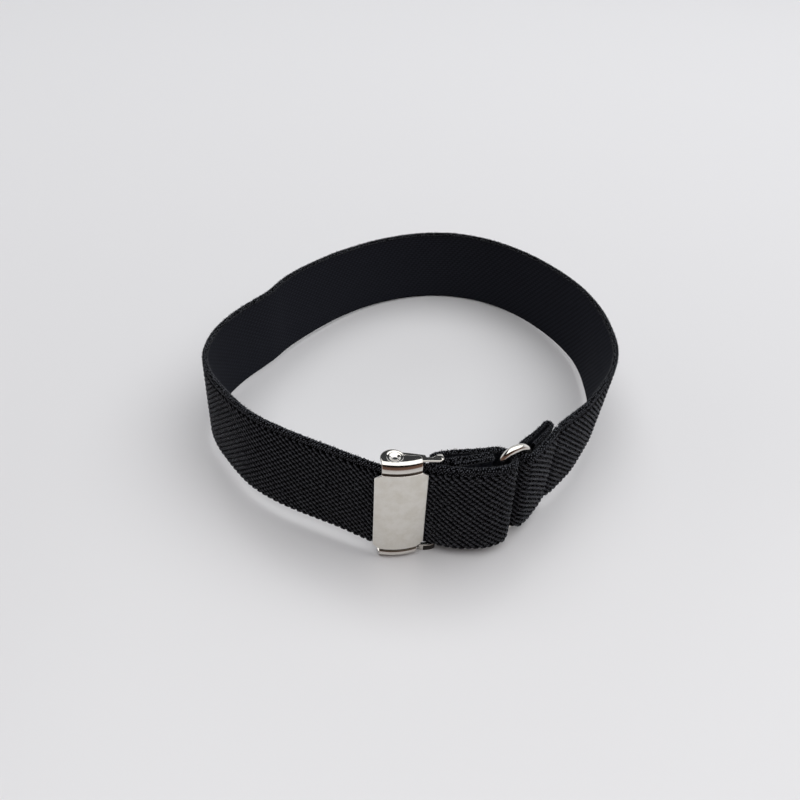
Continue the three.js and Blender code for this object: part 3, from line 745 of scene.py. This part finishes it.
# Nickel plate is a warm light grey metal. Each surface: colour, stain, roughness, unevenness, grain, bump
nickelLook = {
    # blasted before plating: an even satin that reflects no clear shapes
    "blastedNickelPlate": ("#e3e0d9", "#d3cec2", 0.36, 0.07, 0.3, 0.009),
    # tumbled bright: clear reflections that waver a little
    "tumbledNickelPlate": ("#dcd9d3", "#cdc9c1", 0.08, 0.03, 0.9, 0.003),
    # stamped edges rubbed smooth, and painted lighter than the face as a highlight: thin pale lines of light
    "nickelRimPaintedHighlight": ("#f4f2ec", "#f4f2ec", 0.3, 0.04, 0.6, 0.002),
    # painted shade in the crevice under the cover's edge: brownish, dark and rougher than the plate
    "nickelCrevicePaintedShade": ("#5f5850", "#5f5850", 0.45, 0.06, 0.4, 0.006),
    # painted shade on the lower arm, which lies in the strap's shadow: dark, with weak soft reflections
    "nickelArmPaintedShade": ("#37332f", "#37332f", 0.4, 0.06, 0.4, 0.004),
    # wire drawn smooth and polished: long sharp highlights
    "polishedNickelWire": ("#dcd9d3", "#cdc9c1", 0.1, 0.03, 1.5, 0.002),
}
satinNickel, brightNickel, rimHighlightNickel, creviceShadeNickel, armShadeNickel, wireNickel = (
    nickelMaterial(name, *look) for name, look in nickelLook.items())

cover = {
    "halfWidth": 6.1, "halfHeight": 12.1, "chamferAlong": 1.5, "chamferUp": 1.2,
    "bow": 15, "crown": -1.28, "sheet": 0.5, "edge": 0.15,
}
neck = {
    "halfWidth": 4.55, "foot": 0.35, "wall": 0.27,  # the sheet's middle: behind the cover's front
    "top": 15.0,  # the ear's height
    "groove": 0.9, "grooveUp": (11.75, 12.55, 13.15),  # a pressed groove where the neck leaves the cover
    "paintedShade": (12.0, 13.05),  # heights of the crevice that is painted in shade
    "wideBend": 2.2, "tightBend": 0.98,
}
ear = {
    "lobe": (-2.0, 1.9), "lobeRadius": 2.75, "lobeEnd": 12, "notch": (1.1, 2.5),
    "shoulder": (4.1, 2.1), "right": (1.35, 1.5), "left": (-4.7, 1.5), "sheet": 0.5, "edge": 0.12,
}
pivot = {"along": -1.4, "behind": 2.1}
# the pressed dimple, from its rim to its floor: radius and depth
dimple = [
    (1.92, 0), (1.87, 0.015), (1.81, 0.045), (1.75, 0.06), (1.6, 0.065), (1.42, 0.07), (1.32, 0.085),
    (1.2, 0.13), (1.05, 0.21), (0.9, 0.3), (0.76, 0.39), (0.66, 0.445), (0.56, 0.475), (0.46, 0.485)]


def bowAt(x):
    return cover["crown"] + x * x / (2 * cover["bow"])


def buildCoverFace():
    bm = bmesh.new()
    halfWidth, halfHeight = cover["halfWidth"], cover["halfHeight"]
    corner = halfWidth - cover["chamferAlong"]
    chamfer = np.linspace(corner, halfWidth, 4)
    columns = np.unique(np.concatenate([np.linspace(-corner, corner, 27), chamfer, -chamfer]))
    levels = np.linspace(-1, 1, 13)
    slope = cover["chamferUp"] / cover["chamferAlong"]
    pattern, faces = gridPattern(columns, levels)
    pattern = [(x, (halfHeight - max(0, abs(x) - corner) * slope) * level) for x, level in pattern]
    middle = cover["sheet"] / 2
    # its rounded edges take the second material, the rim's painted highlight
    sheetSolid(bm, pattern, faces, cover, lambda x, y, w: (x, bowAt(x) + middle - w, y), edgeSlot=1)
    return finishMetal(bm, "coverFace", [satinNickel, rimHighlightNickel])


# the neck's middle line: from the cover's edge past the groove, up, and round a tightening bend to the ear
def neckLine():
    low, deepest, high = neck["grooveUp"]
    line = []
    for start, end, startUp, endUp, shares in (
            (neck["foot"], neck["groove"], low, deepest, np.linspace(0, 1, 6)),
            (neck["groove"], neck["wall"], deepest, high, np.linspace(0, 1, 7)[1:])):
        for t in shares:
            line.append((start + (end - start) * t * t * (3 - 2 * t), startUp + (endUp - startUp) * t))
    wide, tight = neck["wideBend"], neck["tightBend"]
    half = math.sin(math.radians(45))
    foot = neck["top"] - tight - (wide - tight) * half
    for angle in np.radians(np.linspace(0, 45, 9)):
        line.append((neck["wall"] + wide * (1 - math.cos(angle)), foot + wide * math.sin(angle)))
    behind, up = line[-1]
    for angle in np.radians(np.linspace(45, 90, 9)[1:]):
        line.append((behind + tight * (half - math.cos(angle)), up + tight * (math.sin(angle) - half)))
    return np.array(line)


def earOutline():
    right = [(neck["halfWidth"], behind) for behind in ear["right"]] + [ear["shoulder"]]
    shoulder, notch = np.array(ear["shoulder"]), np.array(ear["notch"])
    right += [tuple(shoulder + (notch - shoulder) * t) for t in (0.2, 0.4, 0.6, 0.8, 1)]
    lobe = arcPoints(*ear["lobe"], ear["lobeRadius"], np.radians(np.linspace(ear["lobeEnd"], 180, 26)))
    return right + lobe + [ear["left"]]


def addCoverEnd(bm, side):
    line = neckLine()
    reach = runAlong(line)
    flat, (earBehind, earMiddle) = reach[-1], line[-1]  # past flat the pattern lies level, as the ear
    slope = np.gradient(line, reach, axis=0)
    slope[-1] = (1, 0)

    def behindAt(x, v):
        return bowAt(x) + earBehind + v - flat

    def onEar(x, behind):
        return x, flat + behind - bowAt(x) - earBehind

    def place(x, v, w):
        if v >= flat:
            fromPivot = math.hypot(x - pivot["along"], behindAt(x, v) - pivot["behind"])
            dent = float(np.interp(fromPivot, *zip(*reversed(dimple))))
            return x, behindAt(x, v), side * (earMiddle + w - dent)
        behind, up = pointsAt(v, reach, line)
        way = pointsAt(v, reach, slope)
        way /= np.linalg.norm(way)
        return x, bowAt(x) + behind - w * way[1], side * (up + w * way[0])

    columns = np.linspace(-neck["halfWidth"], neck["halfWidth"], 27)
    pattern, faces = gridPattern(columns, reach)
    # faces in the crevice take the second material, painted shade
    paintedShade = {
        number for number, face in enumerate(faces)
        if neck["paintedShade"][0] < np.interp(pattern[face[0]][1], reach, line[:, 1]) < neck["paintedShade"][1]}
    lastRow = list(range(len(pattern) - len(columns), len(pattern)))
    outline = [onEar(*point) for point in earOutline()]
    rim = lastRow + [len(pattern) + i for i in range(len(outline))]
    pattern += outline
    turns = [
        math.atan2(behindAt(x, v) - pivot["behind"], x - pivot["along"])
        for x, v in (pattern[index] for index in rim)]
    circle = rim
    for radius, _ in dimple:
        following = [len(pattern) + i for i in range(len(rim))]
        pattern += [onEar(*point) for point in arcPoints(pivot["along"], pivot["behind"], radius, turns)]
        for i in range(len(rim)):
            j = (i + 1) % len(rim)
            faces.append([circle[i], circle[j], following[j], following[i]])
        circle = following
    faces.append(circle)
    sheetSolid(bm, pattern, faces, ear, place, paintedShade=paintedShade)


def buildCoverEnds():
    bm = bmesh.new()
    for side in (1, -1):
        addCoverEnd(bm, side)
    return finishMetal(bm, "coverNecks", [brightNickel, creviceShadeNickel])


# Lever: a thin bent sheet behind the strap, hung on the two dimples
lever = {
    "sheet": 0.5, "arm": 14.2, "wallTop": 14.35, "hole": 1.8, "lobe": 2.2, "edge": 0.13,
    "noseTop": 11.8, "noseEnd": (8, 10),  # it ends midway between these two points of the rounded wall line
    "rim": (13.45, 15.3), "rimShadeFrom": 6.35,  # the lower arm's rim: its heights, and where its painted shade begins
}
leverWall = [(-0.9, 1.95), (-2.1, 2.35), (-2.7, 3.35), (-2.1, 4.3), (-0.6, 4.45), (2.5, 3.7), (5.6, 2.85)]
armFront = [(0.1, 0.6), (1.5, 0.75), (3.2, 0.98), (4.8, 1.1), (6.6, 0.95), (8.4, 0.75)]
armTip = [(8.9, 0.82), (9.25, 1.0), (9.5, 1.3), (9.6, 1.65), (9.55, 2.05), (9.35, 2.35), (8.9, 2.55)]
armBack = [
    (8.2, 2.56), (7.6, 2.53), (7.4, 2.4), (7.3, 2.15), (7.1, 2.1), (6.1, 2.1), (5.75, 2.3), (5.5, 2.95),
    (2.5, 3.8), (-0.6, 4.55)]
armRim = [
    (5.1, 1.8), (5.35, 1.4), (5.8, 1.08), (6.5, 0.9), (7.4, 0.84), (8.3, 0.92), (8.95, 1.17), (9.3, 1.6)]
endBar = {
    "from": 8.2, "to": 9.5,
    "bend": [(1.4, 14.15), (2.2, 14.15), (2.7, 14.08), (3.2, 13.85), (3.55, 13.5), (3.7, 13.1)]}


# triangles that fill an outline with a hole
def fillOutline(outline, hole):
    bm = bmesh.new()
    verts = [bm.verts.new((x, y, 0)) for x, y in outline + hole]
    for ring in (verts[:len(outline)], verts[len(outline):]):
        for a, b in zip(ring, ring[1:] + ring[:1]):
            bm.edges.new((a, b))
    bmesh.ops.triangle_fill(bm, use_beauty=True, edges=bm.edges[:])
    bm.verts.index_update()
    bmesh.ops.recalc_face_normals(bm, faces=bm.faces)
    faces = [[v.index for v in face.verts][::1 if face.normal.z > 0 else -1] for face in bm.faces]
    bm.free()
    return faces


def roundCorners(points, times=2):
    points = np.array(points, float)
    for _ in range(times):
        near, far = points[:-1], points[1:]
        cut = np.stack([0.75 * near + 0.25 * far, 0.25 * near + 0.75 * far], 1).reshape(-1, 2)
        points = np.vstack([points[:1], cut[1:-1], points[-1:]])
    return points


# places points of a sheet that is bent along a line in plan or in section
def bentPlace(line, build):
    reach = runAlong(line)
    slope = np.gradient(line, reach, axis=0)
    slope /= np.linalg.norm(slope, axis=1)[:, None]

    def place(x, y, w):
        point, way = pointsAt(x, reach, line), pointsAt(x, reach, slope)
        return build(point[0] + w * way[1], point[1] - w * way[0], y)

    return reach, place


def buildLever():
    bm = bmesh.new()
    centre = (pivot["along"], pivot["behind"])
    start, end = (math.atan2(y - centre[1], x - centre[0]) for x, y in (armFront[0], armBack[-1]))
    lobe = arcPoints(*centre, lever["lobe"], np.linspace(end, start + 2 * math.pi, 24))
    hole = arcPoints(*centre, lever["hole"], np.linspace(0, -2 * math.pi, 32, endpoint=False))
    outline = armFront + armTip + armBack + lobe
    faces = fillOutline(outline, hole)
    # the lower arm's edges take the second material, painted shade
    for side in (1, -1):
        sheetSolid(
            bm, outline + hole, faces, lever, lambda x, y, w: (x, y, side * (lever["arm"] + w)),
            edgeSlot=int(side < 0))
    # the lower arm's front edge is turned down as a rim, painted in shade on the strap's side
    line = roundCorners(armRim)
    reach, place = bentPlace(line, lambda x, y, up: (x, y, -up))
    pattern, faces = gridPattern(reach, np.linspace(*lever["rim"], 4))
    shadedRim = {
        number for number, face in enumerate(faces)
        if np.interp(pattern[face[0]][0], reach, line[:, 0]) > lever["rimShadeFrom"]}
    sheetSolid(bm, pattern, faces, lever, place, paintedShade=shadedRim)
    # the wall, whose nose at the pivot is lower than the rest
    reach, place = bentPlace(roundCorners(leverWall), lambda x, y, up: (x, y, up))
    noseEnd = sum(reach[i] for i in lever["noseEnd"]) / 2
    wallTop, noseTop = lever["wallTop"], lever["noseTop"]
    pattern, faces = gridPattern(sorted({*reach, noseEnd}), [-wallTop, -noseTop, 0, noseTop, wallTop])
    faces = [
        face for face in faces if pattern[face[0]][1] in (-noseTop, 0) or pattern[face[0]][0] >= noseEnd]
    sheetSolid(bm, pattern, faces, lever, place)
    bar = np.array(endBar["bend"] + [(behind, -up) for behind, up in reversed(endBar["bend"])])
    reach, place = bentPlace(bar, lambda behind, up, x: (x, behind, up))
    pattern, faces = gridPattern(reach, np.linspace(endBar["from"], endBar["to"], 4))
    sheetSolid(bm, pattern, faces, lever, place)
    return finishMetal(bm, "claspLever", [brightNickel, armShadeNickel])


coverFace = buildCoverFace()
coverNecks = buildCoverEnds()
claspLever = buildLever()
print("clasp built")

# Adjuster ring: round wire in a narrow rounded shape, upright in the strap's line
ring = {
    "x": 24.35, "y": -50.1, "heading": 31, "askew": 2.2, "lean": 1.8,
    "legSpacing": 7.8, "bottom": -1.8, "top": 26.5, "corner": 3.7, "radius": 0.95,
}


def ringLine(perCorner=14, perLeg=16):
    side, corner = ring["legSpacing"] / 2, ring["corner"]
    right, top, bottom = side - corner, ring["top"] - corner, ring["bottom"] + corner
    quarter = np.linspace(0, 90, perCorner, endpoint=False)
    points = []
    for start, x, z in ((0, right, top), (90, -right, top), (180, -right, bottom), (270, right, bottom)):
        points += arcPoints(x, z, corner, np.radians(start + quarter))
        if start == 90:
            points += [(-side, level) for level in np.linspace(top, bottom, perLeg, endpoint=False)]
        if start == 270:
            points += [(side, level) for level in np.linspace(bottom, top, perLeg, endpoint=False)]
    return np.array(points)


def buildRing(sides=24):
    line = ringLine()
    ahead = np.roll(line, -1, 0) - np.roll(line, 1, 0)
    ahead /= np.linalg.norm(ahead, axis=1)[:, None]
    outward = np.stack([ahead[:, 1], -ahead[:, 0]], 1)
    wire = arcPoints(0, 0, ring["radius"], np.linspace(0, 2 * math.pi, sides, endpoint=False))
    verts = [(x + a * out[0], b, z + a * out[1]) for (x, z), out in zip(line, outward) for a, b in wire]
    # the last row of faces meets the first points again
    faces = (gridFaces(len(line) + 1, sides, closed=True) % len(verts)).tolist()
    mesh = bpy.data.meshes.new("ringWire")
    mesh.from_pydata(verts, [], faces)
    turn = turned(ring["heading"], "Z") @ turned(-ring["askew"], "Y") @ turned(ring["lean"], "X")
    mesh.transform(toRow @ Matrix.Translation((ring["x"], ring["y"], 0)) @ turn)
    return addPiece("ringWire", mesh, [wireNickel])


ringWire = buildRing()
print("ring built")

# Pieces and the parts that they stand for
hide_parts("elastic_band")
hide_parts("clasp_plate")
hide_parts("clasp_plate")
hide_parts("clasp_lever")
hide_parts("adjuster_ring")
for piece in (
        wovenStrap, *ribPieces, selvedgeLoops, selvedgeFuzz, stitchThread,
        coverFace, coverNecks, claspLever, ringWire):
    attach(piece, "root")

# Stage: a pale glossy table, a wide soft light overhead and a dim room around
stage = {
    "table": "#e6e6e8", "tableSize": 24.0, "gloss": 0.3,
    "lightPlace": (0.5, 0.08, 1.25), "lightSize": (2.5, 2.06), "lightPower": 28.5,
    # the room by height over the horizon, as a share of straight up: in front and behind
    "front": [(0.0, "#7d6256"), (0.45, "#604a40"), (0.56, "#151211"), (0.8, "#1c1918")],
    "behind": [(0.0, "#fbfcff"), (0.4, "#f1f3f7"), (0.56, "#414346"), (0.78, "#3c3e41")],
    "roomStrength": 1.0, "frontToBehind": (-0.25, 0.35),
}


def addTable():
    mesh = bpy.data.meshes.new("table")
    half = stage["tableSize"] / 2
    corners = [(-half, -half, 0), (half, -half, 0), (half, half, 0), (-half, half, 0)]
    mesh.from_pydata(corners, [], [(0, 1, 2, 3)])
    # lacquered board: pale, with soft reflections of what stands on it
    material, surface = newMaterial("lacqueredTable")
    fillNode(material, surface, {"Base Color": linear(stage["table"]), "Roughness": stage["gloss"]})
    mesh.materials.append(material)
    addObject("table", mesh)


def addLight():
    data = bpy.data.lights.new("softbox", "AREA")
    data.shape = "RECTANGLE"
    data.size, data.size_y = stage["lightSize"]
    data.energy = stage["lightPower"]
    addObject("softbox", data).location = stage["lightPlace"]


def addRoom():
    world = bpy.data.worlds.new("room")
    world.use_nodes = True
    place = addNode(world, "TexCoord")
    parts = addNode(world, "SeparateXYZ", links={0: place.outputs["Generated"]})
    front, behind = (
        fillRamp(addNode(world, "ValToRGB", links={0: parts.outputs[2]}), stage[name])
        for name in ("front", "behind"))
    start, end = stage["frontToBehind"]
    depth = addNode(world, "MapRange", {"From Min": start, "From Max": end}, {"Value": parts.outputs[1]})
    room = addNode(world, "Mix", {"data_type": "RGBA"}, {0: depth, 6: front, 7: behind})
    fillNode(world, world.node_tree.nodes["Background"], {1: stage["roomStrength"]}, {0: room.outputs[2]})
    bpy.context.scene.world = world


addTable()
addLight()
addRoom()
bpy.context.scene.view_settings.view_transform = "Standard"
print("stage set")
